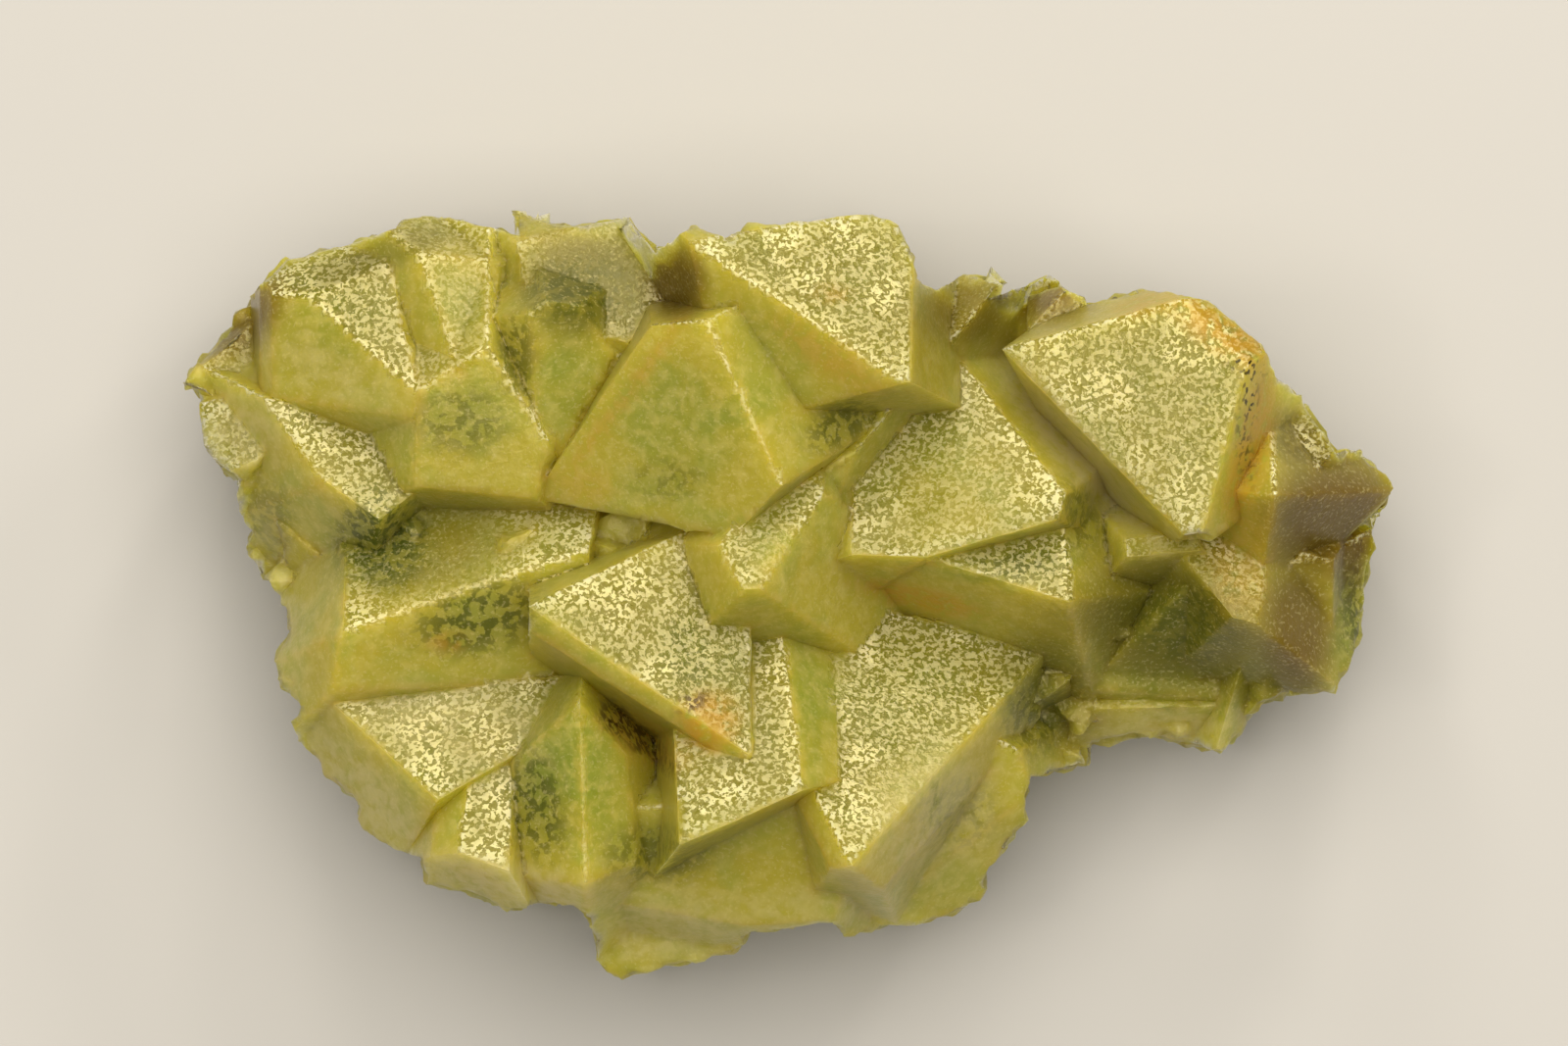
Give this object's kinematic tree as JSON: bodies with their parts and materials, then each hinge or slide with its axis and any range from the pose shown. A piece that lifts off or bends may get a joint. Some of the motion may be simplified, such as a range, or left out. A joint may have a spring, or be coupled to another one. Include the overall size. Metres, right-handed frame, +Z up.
{
  "type": "fluorite specimen",
  "caption": "Cluster of intergrown yellow-green octahedral fluorite crystals on a broken crust, lying on its back with the crystals up.",
  "frame": {"origin": "middle of the bounding box's footprint, on the plane that the broken back rests on", "axes": "+X along the cluster's length, towards the picture's right; +Y towards the picture's upper edge; +Z up out of the crystals, towards the viewer of the picture"},
  "size_m": [0.1036, 0.0658, 0.0386],
  "materials": {
    "fluorite_crystal": "frosted satin, yellow-green"
  },
  "bodies": {
    "root": {"fluorite_cluster": "fluorite_crystal"}
  },
  "joints": []
}
